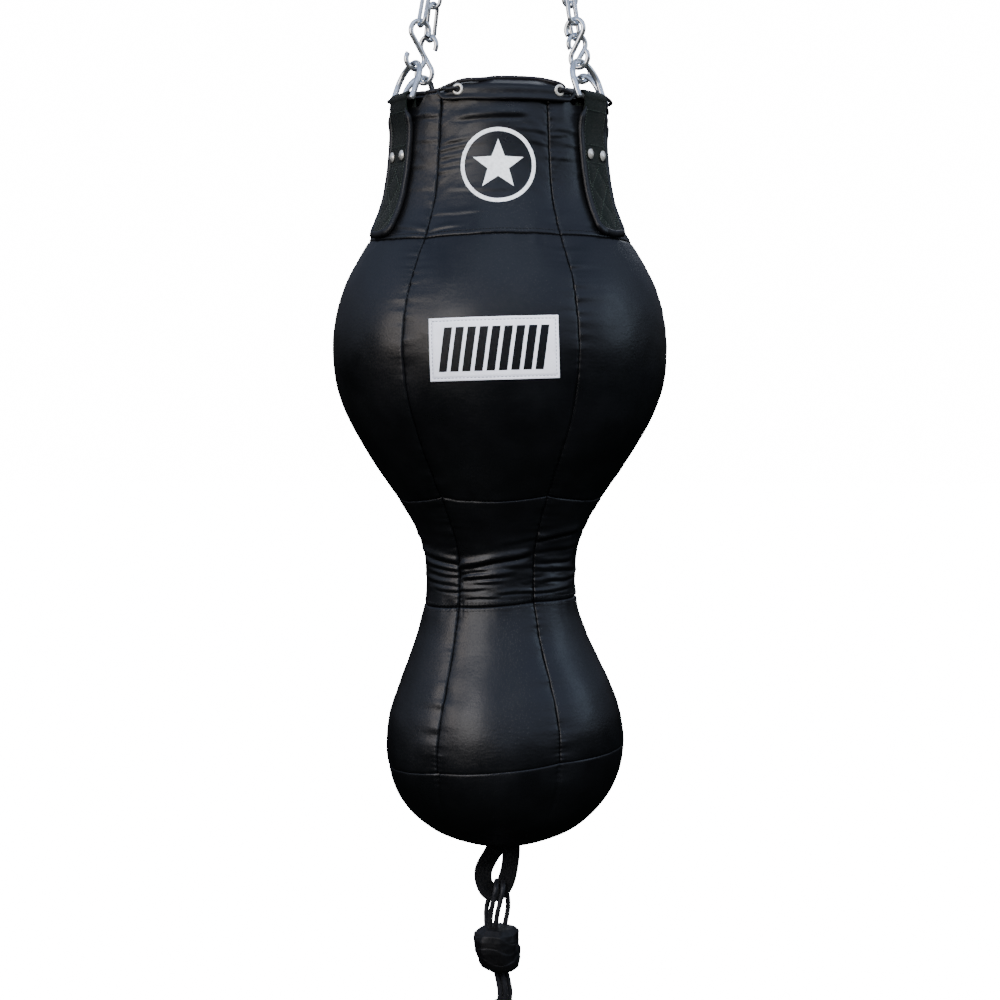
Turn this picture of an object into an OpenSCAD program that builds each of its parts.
// Heavy punching bag with two bulbs, hung from a four-leg chain sling and tied down below.
// The origin is the middle of the hanging eye, Z is up, and the front of the bag faces -Y.
// A bag ring is [height above the bag's lowest point, radius, slope of the radius over the height].

/* [Bag outline] */
// Widest ring of the lower bulb
lower_bulb = [128, 144, 0]; // [100:1:200]
// How full the bottom is: 2 is an ellipse
bottom_full = 2.12; // [2:0.02:2.6]
// Ring where the waist starts, at its lower seam
waist_foot = [288, 93, -0.2]; // [-1:0.05:300]
// Narrowest ring
waist = [323, 90, 0]; // [0:1:330]
// Ring where the waist opens out
waist_flare = [380, 100, 0.45]; // [0:0.05:390]
// Steepest ring below the upper bulb
upper_foot = [452, 144, 0.66]; // [0:0.02:460]
// Shoulder ring below the upper bulb
upper_rise = [520, 184, 0.45]; // [0:0.05:530]
// Widest ring of the upper bulb
upper_bulb = [595, 200, 0]; // [0:1:600]
// Shoulder ring above the upper bulb
upper_fall = [668, 187, -0.38]; // [-1:0.02:670]
// Ring at the neck's lower seam
neck_foot = [732, 152, -0.55]; // [-1:0.05:740]
// Ring where the neck straightens
neck_flare = [775, 135, -0.22]; // [-1:0.02:780]
// Ring half way up the neck
neck_mid = [820, 128, -0.08]; // [-1:0.02:830]
// Top ring of the neck
neck_top = [875, 124, -0.05]; // [-1:0.05:900]

/* [Skin] */
// Number of panels round the bag
gores = 6; // [6:1:6]
// Height of the seam round the bottom cap
cap_seam = 112; // [90:1:120]
// Height of the seam between the lower bulb and the waist
waist_seam = 299; // [285:1:310]
// Height of the seam between the waist and the upper bulb
bulb_seam = 423; // [400:1:430]
// Height of the seam between the upper bulb and the neck
neck_seam = 723; // [710:1:735]
// Thickness of the leather and its backing
skin_t = 3; // [2:0.5:4]
// Thickness of the canvas liner
liner_t = 2; // [1.5:0.5:3]

/* [Label] */
// Width of the woven label, along the bag
label_w = 146; // [100:1:170]
// Height of the woven label
label_h = 70; // [50:1:90]
// Height of its middle
label_at = 594; // [570:1:620]

/* [Top cover] */
// Radius of the skirt outside the neck
skirt_r = 128; // [127:0.5:130]
// Height of the skirt
skirt_h = 17; // [14:1:20]
// Number of eyelets in each of the two rows
eyelet_count = 6; // [6:1:6]
// Thickness of the lace
lace_d = 5; // [4:0.5:6]

/* [Hanger tabs] */
// Angles of the four tabs, from the front of the bag
tab_angles = [-60, 60, 120, -120]; // [-180:5:180]
// Width of a tab with its bound edges
tab_w = 60; // [56:1:64]
// Thickness of a tab
tab_t = 5; // [4:0.5:6]
// Height of a tab's lower edge
tab_foot = 728; // [722:1:745]
// Height of the two rivets
rivet_at = 820; // [800:1:830]
// Distance between the two rivets
rivet_gap = 27; // [20:1:32]
// Diameter of a rivet's head
rivet_d = 12; // [8:1:14]

/* [D-rings and S-hooks] */
// Wire of a D-ring
d_wire = 7; // [6:0.5:8]
// Width of a D-ring between its wire centres
d_w = 56; // [54:1:60]
// Straight side of a D-ring
d_side = 18; // [14:1:22]
// Lean of a D-ring towards the middle
d_lean = 20; // [15:1:25]
// Wire of an S-hook
s_wire = 6; // [5:0.5:7]
// Bend radius of an S-hook
s_bend = 11.5; // [11:0.5:13]
// Distance between the two bends of an S-hook
s_apart = 34; // [32:1:38]
// Lean of an S-hook towards the middle
s_lean = 10.5; // [8:0.5:14]

/* [Chain sling] */
// Wire of a chain link
link_wire = 5; // [4:0.5:5]
// Inner length of a chain link
link_in = 40; // [38:1:44]
// Inner width of a chain link
link_gap = 12; // [12:0.5:14]
// Number of links in a leg
link_count = 13; // [11:2:15]
// Wire of the master ring
ring_wire = 10; // [8:1:11]
// Radius of the master ring, to the middle of its wire
ring_r = 42; // [40:1:46]
// Places of the legs on the ring, from its middle
leg_places = [7, 21]; // [5:1:24]

/* [Swivel and shackle] */
// Radius of the hanging eye's hole
eye_r = 8; // [6:0.5:9]
// Thickness of the hanging eye
eye_t = 12; // [8:1:16]
// Radius of the swivel's barrel
barrel_r = 22; // [21:1:26]
// Radius of the swivel's stem
stem_r = 8; // [6:0.5:9]
// Radius of the shackle's pin
pin_r = 6; // [5:0.5:7]
// Wire of the shackle
bow_wire = 10; // [8:1:10]
// Straight side of the shackle, from its pin to its bend
bow_side = 28; // [26:1:34]
// Radius of the shackle's bend
bow_r = 13; // [13:0.5:15]

/* [Tie-down] */
// Thickness of the webbing loop
strap_t = 4; // [3:0.5:5]
// Thickness of a tie cord
cord_d = 6; // [5:0.5:6]
// Outer radius of the floor ring
floor_r = 22; // [20:1:26]
// Radius of the floor ring's hole
floor_hole_r = 14; // [12:1:16]
// Thickness of the floor ring
floor_t = 8; // [6:1:9]

/* [Hidden] */

$fn = 64;
clearance = 0.3;     // between two solids that touch on the real bag
fit = 0.06;          // radial play of a pin or a stem in its bore
leather = [0.07, 0.07, 0.09];
webbing = [0.06, 0.08, 0.07];
zinc = [0.78, 0.81, 0.85];
steel = [0.62, 0.64, 0.67];

// ---- Bag outline ----
rings = [
    lower_bulb, waist_foot, waist, waist_flare, upper_foot, upper_rise,
    upper_bulb, upper_fall, neck_foot, neck_flare, neck_mid, neck_top
];

// Radius on the smooth curve through two rings
function between(a, b, h) =
    let (d = b[0] - a[0], t = (h - a[0]) / d)
    a[1] * (2 * t ^ 3 - 3 * t ^ 2 + 1) + b[1] * (3 * t ^ 2 - 2 * t ^ 3)
    + d * a[2] * (t ^ 3 - 2 * t ^ 2 + t) + d * b[2] * (t ^ 3 - t ^ 2);

function ring_below(h, i = 0) =
    i >= len(rings) - 2 || h < rings[i + 1][0] ? i : ring_below(h, i + 1);

// Radius of the bag at a height: a full ellipse below the lower bulb's widest ring
function bag_r(h) =
    h < lower_bulb[0]
    ? lower_bulb[1] * (1 - ((lower_bulb[0] - h) / lower_bulb[0]) ^ bottom_full) ^ (1 / bottom_full)
    : between(rings[ring_below(h)], rings[ring_below(h) + 1], h);

// Points up the outline from h0 to h1, moved inwards by depth
function outline(h0, h1, depth, steps) =
    [for (i = [0 : steps]) let (h = h0 + (h1 - h0) * i / steps) [bag_r(h) - depth, h]];

// Points round the bottom, moved inwards by depth, up to the height h1
function bottom_outline(h1, depth, steps) =
    let (b = lower_bulb[0], p = 2 / bottom_full, a1 = acos(((b - h1) / (b - depth)) ^ (1 / p)))
    [for (i = [0 : steps]) let (a = a1 * i / steps)
        [(lower_bulb[1] - depth) * sin(a) ^ p, b - (b - depth) * max(0, cos(a)) ^ p]];

function reversed(list) = [for (i = [len(list) - 1 : -1 : 0]) list[i]];

gore = 360 / gores;
bulb_steps = 24;
waist_steps = 14;
liner_steps = 60;

// ---- Heights of the hanging gear, down from the hanging eye ----
eye_top_r = eye_r + 12;
barrel_top = -18;
window_top = -30;
plate_top = -62;
barrel_foot = -70;
ball_r = 2.5;
ball_count = 12;
race_r = 11.5;
pocket_r = 16;
nut_h = 14;
nut_foot = plate_top + 2 * ball_r + 0.2;
pin_z = -96;
lug_r = 15;
lug_t = 12;
ear_t = 10;
ear_r = 11;
bow_foot = pin_z - bow_side - bow_r;
ring_top = bow_foot + (bow_wire + ring_wire) / 2 + clearance;
ring_z = ring_top - ring_r;

// ---- D-rings, S-hooks and chain legs, in heights above the bag's lowest point ----
fold_r = 8;
bar_r = 127;
bar_h = neck_top[0] + fold_r + 3;
d_bend = d_w / 2;
d_top = [bar_r - (d_side + d_bend) * sin(d_lean), bar_h + (d_side + d_bend) * cos(d_lean)];
s_dir = [-sin(s_lean), cos(s_lean)];
s_foot = d_top - s_dir * ((d_wire + s_wire) / 2 + clearance);
s_len = s_apart + 2 * s_bend;
s_mid = s_foot + s_dir * s_len / 2;
s_top = s_foot + s_dir * s_len;

pitch_max = link_in - clearance;
link_half = (link_in + link_wire) / 2;
last_gap = link_half - (s_wire + link_wire) / 2 - clearance;

// Height of the ring's wire over its lowest point, x from its middle
function ring_rise(x) = ring_r - sqrt(ring_r ^ 2 - x ^ 2);
function foot_of(i) = s_top[0] * [sin(tab_angles[i]), -cos(tab_angles[i])];
leg_x = [-leg_places[0], leg_places[1], leg_places[0], -leg_places[1]];
// From the ring's wire to the middle of the first link; the wire slopes away from its lowest point
function first_link(i) =
    link_half - ((ring_wire + link_wire) / 2 + clearance) / sqrt(1 - (leg_x[i] / ring_r) ^ 2);
function leg_max(i) = first_link(i) + (link_count - 1) * pitch_max + last_gap;
function plan_of(i) = norm(foot_of(i) - [leg_x[i], 0]);
function drop_at(i) = sqrt(leg_max(i) ^ 2 - plan_of(i) ^ 2) - ring_rise(leg_x[i]);
sling_drop = min([for (i = [0 : 3]) drop_at(i)]);
bag_z = ring_z - ring_r - sling_drop - s_top[1];

function leg_head(i) = [leg_x[i], 0, ring_z - ring_r + ring_rise(leg_x[i])];
function leg_foot(i) = [foot_of(i)[0], foot_of(i)[1], bag_z + s_top[1]];
function unit(v) = v / norm(v);
function across(v, d) = unit(v - (v * d) * d);

// ---- Tie-down, in heights above the bag's lowest point ----
root_z = -2.6;
strap_foot = -36;
strap_r = 27;
strap_top_w = 38;
slot_w = 18;
slot_top = -18;
slot_foot = -42;
knot_top = -100;
knot_foot = -155;
knot_x = -4;
lower_tape_top = -192;
lower_tape_foot = -210;
lower_tape_x = 3.5;
floor_z = -244;

// Each cord is one doubled loop: [x, y, height above the bag's lowest point].
// It starts in the lower tape, goes round the ring, up through both tapes, over the strap
// in the loop's slot and down again to the lower tape.
cord_route_left = [
    [2.5, 4, -200], [-0.5, 7, -211], [-2.5, 11, -220], [-3.5, 11, -226], [-4, 8, -233], [-4, 0, -235],
    [-4, -8, -233], [-3.5, -11, -226], [-3.5, -11, -220], [-3.5, -7, -211], [-2.5, -3, -200],
    [0, -3, -180], [-6, -3, -150], [-11, -4, -130], [-13, -6, -112], [-12, -7, -100],
    [-10, -10, -80], [-7, -12, -66], [-4.5, -11.5, -54], [-4, -7, -48], [-4, 0, -43.5],
    [-5, 7, -48], [-7, 11, -54], [-12, 12, -64], [-17, 11, -80], [-17, 9, -100],
    [-14, 7, -112], [-8, 5, -130], [-1, 4, -150], [5, 4, -180], [3.5, 4, -196]
];
cord_route_right = [
    [9.5, 3, -200], [7.5, 7, -211], [5.5, 11, -220], [4.5, 11, -226], [4, 8, -233], [4, 0, -235],
    [4, -8, -233], [4.5, -11, -226], [4.5, -11, -220], [4.5, -8, -211], [4.5, -4, -200],
    [7, -4, -180], [1, -4, -150], [-4.5, -7, -130], [-6, -9, -112], [-5, -10, -100],
    [-2, -13, -80], [1.5, -13, -66], [4, -11.5, -54], [4, -7, -48], [4, 0, -43.5],
    [4, 7, -48], [5, 11, -54], [8, 12, -64], [9, 12, -80], [5.5, 10, -100],
    [2, 8, -112], [2, 5, -130], [6, 3, -150], [12, 3, -180], [10.5, 3, -196]
];

// ---- Helpers ----
module bag_place() { translate([0, 0, bag_z]) children(); }
// Puts a shape drawn with its radius along X and its height along Y in the plane at an angle
module radial_plane(a) { rotate([0, 0, a - 90]) rotate([90, 0, 0]) children(); }
module bend(r, d, a0, a1) {
    rotate([0, 0, a0]) rotate_extrude(angle = a1 - a0) translate([r, 0]) circle(d = d, $fn = 32);
}
// A band of the skin: one of the panels between two heights
module panel(i, h0, h1, depth, t, steps) {
    gap = clearance / 2;
    outer = outline(h0 + gap, h1 - gap, depth, steps);
    inner = outline(h0 + gap, h1 - gap, depth + t, steps);
    bag_place() rotate([0, 0, -90 + (i - 1.5) * gore + 0.05])
        rotate_extrude(angle = gore - 0.1) polygon(concat(outer, reversed(inner)));
}
// A round tube along a route of points, in the bag's heights
module cord(route) {
    sides = 8;
    n = len(route);
    points = [for (i = [0 : n - 1])
        let (t = unit(route[min(i + 1, n - 1)] - route[max(i - 1, 0)]))
        let (side = across([1, 0, 0], t), up = cross(t, side))
        for (k = [0 : sides - 1])
            route[i] + (side * cos(k * 360 / sides) + up * sin(k * 360 / sides)) * cord_d / 2];
    walls = [for (i = [0 : n - 2]) for (k = [0 : sides - 1])
        let (m = (k + 1) % sides)
        [i * sides + k, (i + 1) * sides + k, (i + 1) * sides + m, i * sides + m]];
    ends = [[for (k = [0 : sides - 1]) k], [for (k = [sides - 1 : -1 : 0]) (n - 1) * sides + k]];
    polyhedron(points, concat(walls, ends));
}

// ---- Swivel and shackle ----
module swivel_housing() color(steel) difference() {
    union() {
        rotate([90, 0, 0]) cylinder(r = eye_top_r, h = eye_t, center = true);
        translate([0, 0, barrel_foot]) cylinder(r = barrel_r, h = barrel_top - barrel_foot);
    }
    rotate([90, 0, 0]) cylinder(r = eye_r, h = eye_t + 2, center = true);
    translate([0, 0, plate_top]) cylinder(r = pocket_r, h = window_top - plate_top);
    translate([-pocket_r, -barrel_r - 1, plate_top])
        cube([2 * pocket_r, 2 * barrel_r + 2, window_top - plate_top]);
    translate([0, 0, barrel_foot - 1]) cylinder(r = stem_r + fit, h = plate_top - barrel_foot + 2);
}
module swivel_stem() color(steel) difference() {
    union() {
        translate([0, 0, pin_z]) cylinder(r = stem_r, h = nut_foot + nut_h + 2 - pin_z);
        translate([0, 0, pin_z]) rotate([90, 0, 0]) cylinder(r = lug_r, h = lug_t, center = true);
    }
    translate([0, 0, pin_z]) rotate([90, 0, 0]) cylinder(r = pin_r + fit, h = lug_t + 10, center = true);
}
module swivel_nut() color(zinc) translate([0, 0, nut_foot]) difference() {
    cylinder(r = 15, h = nut_h, $fn = 6);
    translate([0, 0, -1]) cylinder(r = stem_r + fit, h = nut_h + 2);
}
module swivel_balls() color(zinc) for (i = [0 : ball_count - 1])
    rotate([0, 0, i * 360 / ball_count]) translate([race_r, 0, plate_top + ball_r + 0.1])
        sphere(r = ball_r, $fn = 32);
module shackle_bow() color(zinc) difference() {
    union() {
        for (s = [-1, 1]) {
            translate([0, s * bow_r, pin_z]) rotate([90, 0, 0])
                cylinder(r = ear_r, h = ear_t, center = true);
            translate([0, s * bow_r, pin_z - bow_side]) cylinder(d = bow_wire, h = bow_side);
        }
        translate([0, 0, pin_z - bow_side]) rotate([90, 0, 90]) bend(bow_r, bow_wire, 180, 360);
    }
    translate([0, 0, pin_z]) rotate([90, 0, 0]) cylinder(r = pin_r + fit, h = 60, center = true);
}
module shackle_pin() color(steel) translate([0, 0, pin_z]) rotate([90, 0, 0]) {
    reach = bow_r + ear_t / 2;
    translate([0, 0, -reach - 5]) cylinder(r = pin_r, h = 2 * reach + 5 + clearance);
    translate([0, 0, reach + clearance]) cylinder(r = 9, h = 5);
}
module master_ring() color(zinc) translate([0, 0, ring_z]) rotate([90, 0, 0])
    rotate_extrude() translate([ring_r, 0]) circle(d = ring_wire, $fn = 32);

// ---- Chain sling ----
module link() {
    r = (link_gap + link_wire) / 2;
    straight = link_half - r;
    for (s = [-1, 1]) translate([s * r, 0, 0]) rotate([90, 0, 0])
        cylinder(d = link_wire, h = 2 * straight, center = true, $fn = 32);
    translate([0, straight, 0]) bend(r, link_wire, 0, 180);
    translate([0, -straight, 0]) bend(r, link_wire, 180, 360);
}
module chain_leg(i) color(zinc) {
    way = leg_foot(i) - leg_head(i);
    d = unit(way);
    pitch = (norm(way) - first_link(i) - last_gap) / (link_count - 1);
    n0 = across([1, 0, 0], d);
    b0 = cross(d, n0);
    out = across([sin(tab_angles[i]), -cos(tab_angles[i]), 0], d);
    turn = atan2(out * b0, out * n0);
    nearest = turn - 180 * round(turn / 180);
    for (k = [0 : link_count - 1]) {
        a = k * (90 + nearest / (link_count - 1));
        n = n0 * cos(a) + b0 * sin(a);
        u = cross(d, n);
        p = leg_head(i) + d * (first_link(i) + k * pitch);
        multmatrix([[u[0], d[0], n[0], p[0]], [u[1], d[1], n[1], p[1]], [u[2], d[2], n[2], p[2]]])
            link();
    }
}

// ---- S-hooks and D-rings ----
module s_hook(i) color(zinc) bag_place() radial_plane(tab_angles[i])
    translate([s_mid[0], s_mid[1], 0]) rotate([0, 0, s_lean]) {
        slant = asin(2 * s_bend / s_apart);
        reach = sqrt((s_apart / 2) ^ 2 - s_bend ^ 2);
        for (s = [0, 180]) rotate([0, 0, s]) {
            translate([0, s_apart / 2, 0]) bend(s_bend, s_wire, -slant, 205);
            rotate([0, 0, -slant]) translate([0, reach, 0]) sphere(d = s_wire + 0.2, $fn = 32);
        }
        rotate([0, 0, -slant]) rotate([90, 0, 0])
            cylinder(d = s_wire, h = 2 * reach, center = true, $fn = 32);
    }
module d_ring(i) color(zinc) bag_place() rotate([0, 0, tab_angles[i]])
    translate([0, -bar_r, bar_h]) rotate([90 - d_lean, 0, 0]) {
        for (s = [-1, 1]) translate([s * d_w / 2, 0, 0]) {
            rotate([-90, 0, 0]) cylinder(d = d_wire, h = d_side, $fn = 32);
            sphere(d = d_wire, $fn = 32);
        }
        rotate([0, 90, 0]) cylinder(d = d_wire, h = d_w, center = true, $fn = 32);
        translate([0, d_side, 0]) bend(d_bend, d_wire, 0, 180);
    }

// ---- Hanger tabs ----
module hanger_tab(i) color(webbing) bag_place() radial_plane(tab_angles[i]) difference() {
    union() {
        inner = outline(tab_foot, neck_top[0] - 4, -clearance, 10);
        outer = outline(tab_foot, neck_top[0] - 4, -clearance - tab_t, 10);
        neck = [[bar_r - 2, bar_h], [bar_r + fold_r - 1, bar_h]];
        linear_extrude(tab_w, center = true) polygon(concat(outer, reversed(inner)));
        linear_extrude(fold_w, center = true)
            polygon([inner[9], outer[9], outer[10], neck[1], neck[0], inner[10]]);
        translate([bar_r, bar_h, 0]) cylinder(r = fold_r, h = fold_w, center = true);
    }
    translate([bar_r, bar_h, 0]) cylinder(d = d_wire + 2 * clearance, h = tab_w, center = true);
    for (s = [-1, 1]) translate([bag_r(rivet_at), rivet_at, s * rivet_gap / 2]) rotate([0, 90, 0])
        cylinder(r = rivet_shank_r + clearance, h = 40, center = true);
}
fold_w = d_w - d_wire - 2;
rivet_shank_r = 2;
module tab_rivets() color(zinc) bag_place() for (a = tab_angles) radial_plane(a)
    for (s = [-1, 1]) translate([bag_r(rivet_at) + 0.4, rivet_at, s * rivet_gap / 2])
        rotate([0, 90, 0]) {
            cylinder(r = rivet_shank_r, h = tab_t + 1.2);
            translate([0, 0, tab_t + 0.8]) intersection() {
                cylinder(d = rivet_d, h = 3);
                translate([0, 0, -6.2]) sphere(r = 9);
            }
        }

// ---- Top cover ----
cover_top = 907;
skirt_top = 897;
shoulder_r = 100;
skirt_foot = skirt_top - skirt_h;
cover_t = 3;
rim_r = 116;
lap_r = 114;
// Sectors of the skirt, between the tabs: [first angle, last angle]
skirt_sectors = [[-45, 45], [135, 225], [75, 105], [-105, -75]];
eyelet_turn = 8.5;
eyelet_r = 7;
eyelet_hole_r = 3.4;
skirt_eyelet_h = 888;
shoulder_eyelet_r = 108;
shoulder_slope = atan((cover_top - skirt_top) / (skirt_r - shoulder_r));

function shoulder_h(r) = skirt_top + (skirt_r - r) * tan(shoulder_slope);
module eyelet_places() {
    for (k = [0 : eyelet_count - 1]) {
        a = k * 60 - 30 + eyelet_turn;
        rotate([0, 0, a]) translate([0, -skirt_r, skirt_eyelet_h]) rotate([90, 0, 0]) children();
        rotate([0, 0, a + 12])
            translate([0, -shoulder_eyelet_r, shoulder_h(shoulder_eyelet_r)])
            rotate([shoulder_slope, 0, 0]) children();
    }
}
module top_cover() color(leather) bag_place() difference() {
    union() {
        rotate_extrude() polygon([
            [0, cover_top - cover_t], [shoulder_r, cover_top - cover_t],
            [rim_r, shoulder_h(rim_r) - cover_t], [rim_r, shoulder_h(rim_r)],
            [shoulder_r, cover_top], [0, cover_top]
        ]);
        for (s = skirt_sectors) rotate([0, 0, s[0] - 90]) rotate_extrude(angle = s[1] - s[0])
            polygon([
                [lap_r, shoulder_h(lap_r) - cover_t], [skirt_r - cover_t, skirt_top - cover_t],
                [skirt_r - cover_t, skirt_foot], [skirt_r, skirt_foot],
                [skirt_r, skirt_top], [lap_r, shoulder_h(lap_r)]
            ]);
    }
    eyelet_places() cylinder(r = eyelet_hole_r + 0.6, h = 20, center = true);
}
module eyelets() color(zinc) bag_place() eyelet_places() difference() {
    union() {
        translate([0, 0, clearance]) cylinder(r = eyelet_r, h = 1);
        translate([0, 0, -cover_t]) cylinder(r = eyelet_hole_r + 0.4, h = cover_t + 1);
    }
    cylinder(r = eyelet_hole_r, h = 20, center = true);
}
module lace() color(leather) bag_place() {
    lace_r = 96;
    translate([0, 0, cover_top + lace_d / 2 + clearance]) rotate_extrude()
        translate([lace_r, 0]) circle(d = lace_d, $fn = 24);
}

// ---- Skin, label and stuffing ----
module neck_panel(i) color(leather) panel(i, neck_seam, neck_top[0], 0, skin_t, waist_steps);
module upper_panel(i) color(leather) panel(i, bulb_seam, neck_seam, 0, skin_t, bulb_steps);
module waist_panel(i) color(leather) panel(i, waist_seam, bulb_seam, 0, skin_t, waist_steps);
module lower_panel(i) color(leather) panel(i, cap_seam, waist_seam, 0, skin_t, bulb_steps);
module bottom_cap() color(leather) bag_place() {
    rim = cap_seam - clearance / 2;
    rotate_extrude() polygon(concat(
        bottom_outline(rim, 0, bulb_steps), reversed(bottom_outline(rim, skin_t, bulb_steps))));
}
module label() color("white") bag_place() {
    side = label_w / 2 / upper_bulb[1] * 180 / PI;
    low = label_at - label_h / 2;
    rotate([0, 0, -90 - side]) rotate_extrude(angle = 2 * side) polygon(concat(
        outline(low, low + label_h, -clearance - 1, 6),
        reversed(outline(low, low + label_h, -clearance, 6))));
}
liner_depth = skin_t + 0.8;
filling_depth = liner_depth + liner_t + 0.6;
module liner() color([0.75, 0.72, 0.63]) bag_place() {
    top = neck_top[0] - 2;
    mid = lower_bulb[0];
    rotate_extrude() polygon(concat(
        bottom_outline(mid, liner_depth, waist_steps), outline(mid + 4, top, liner_depth, liner_steps),
        reversed(outline(mid + 4, top, liner_depth + liner_t, liner_steps)),
        reversed(bottom_outline(mid, liner_depth + liner_t, waist_steps))));
}
module filling() color([0.45, 0.43, 0.42]) bag_place() {
    top = neck_top[0] - 8;
    mid = lower_bulb[0];
    rotate_extrude() polygon(concat(
        bottom_outline(mid, filling_depth, waist_steps), outline(mid + 4, top, filling_depth, liner_steps),
        [[0, top]]));
}

// ---- Tie-down ----
module tie_loop() color(webbing) bag_place() {
    translate([0, 0, root_z]) rotate([0, 90, 0])
        cylinder(d = strap_t, h = strap_top_w, center = true, $fn = 32);
    rotate([90, 0, 0]) linear_extrude(strap_t, center = true) difference() {
        union() {
            translate([0, strap_foot]) circle(r = strap_r);
            polygon([
                [-strap_top_w / 2, root_z], [strap_top_w / 2, root_z],
                [strap_r, strap_foot], [-strap_r, strap_foot]
            ]);
        }
        translate([-slot_w / 2, slot_foot]) square([slot_w, slot_top - slot_foot]);
        for (h = [slot_top, slot_foot]) translate([0, h]) circle(d = slot_w);
    }
}
module tie_cord() color(webbing) bag_place() {
    cord(cord_route_left);
    cord(cord_route_right);
}
module knot_tape() color([0.05, 0.05, 0.06]) bag_place() {
    translate([knot_x, 0, 0]) rotate_extrude($fn = 8) polygon([
        [0, knot_top], [17, knot_top], [25, knot_top - 12], [27, knot_top - 30],
        [19, knot_foot + 6], [13, knot_foot], [0, knot_foot]
    ]);
    translate([lower_tape_x, 0, 0]) rotate_extrude($fn = 8) polygon([
        [0, lower_tape_top], [11, lower_tape_top], [12, lower_tape_foot + 6],
        [10, lower_tape_foot], [0, lower_tape_foot]
    ]);
}
module floor_ring() color(zinc) bag_place() translate([0, 0, floor_z]) rotate([90, 0, 0])
    difference() {
        cylinder(r = floor_r, h = floor_t, center = true);
        cylinder(r = floor_hole_r, h = floor_t + 2, center = true);
    }

// ---- Assembly ----
swivel_housing();
swivel_stem();
swivel_nut();
swivel_balls();
shackle_bow();
shackle_pin();
master_ring();
for (i = [1 : 4]) {
    chain_leg(i - 1);
    s_hook(i - 1);
    d_ring(i - 1);
    hanger_tab(i - 1);
}
tab_rivets();
top_cover();
eyelets();
lace();
label();
for (i = [1 : gores]) {
    neck_panel(i);
    upper_panel(i);
    waist_panel(i);
    lower_panel(i);
}
bottom_cap();
liner();
filling();
tie_loop();
tie_cord();
knot_tape();
floor_ring();
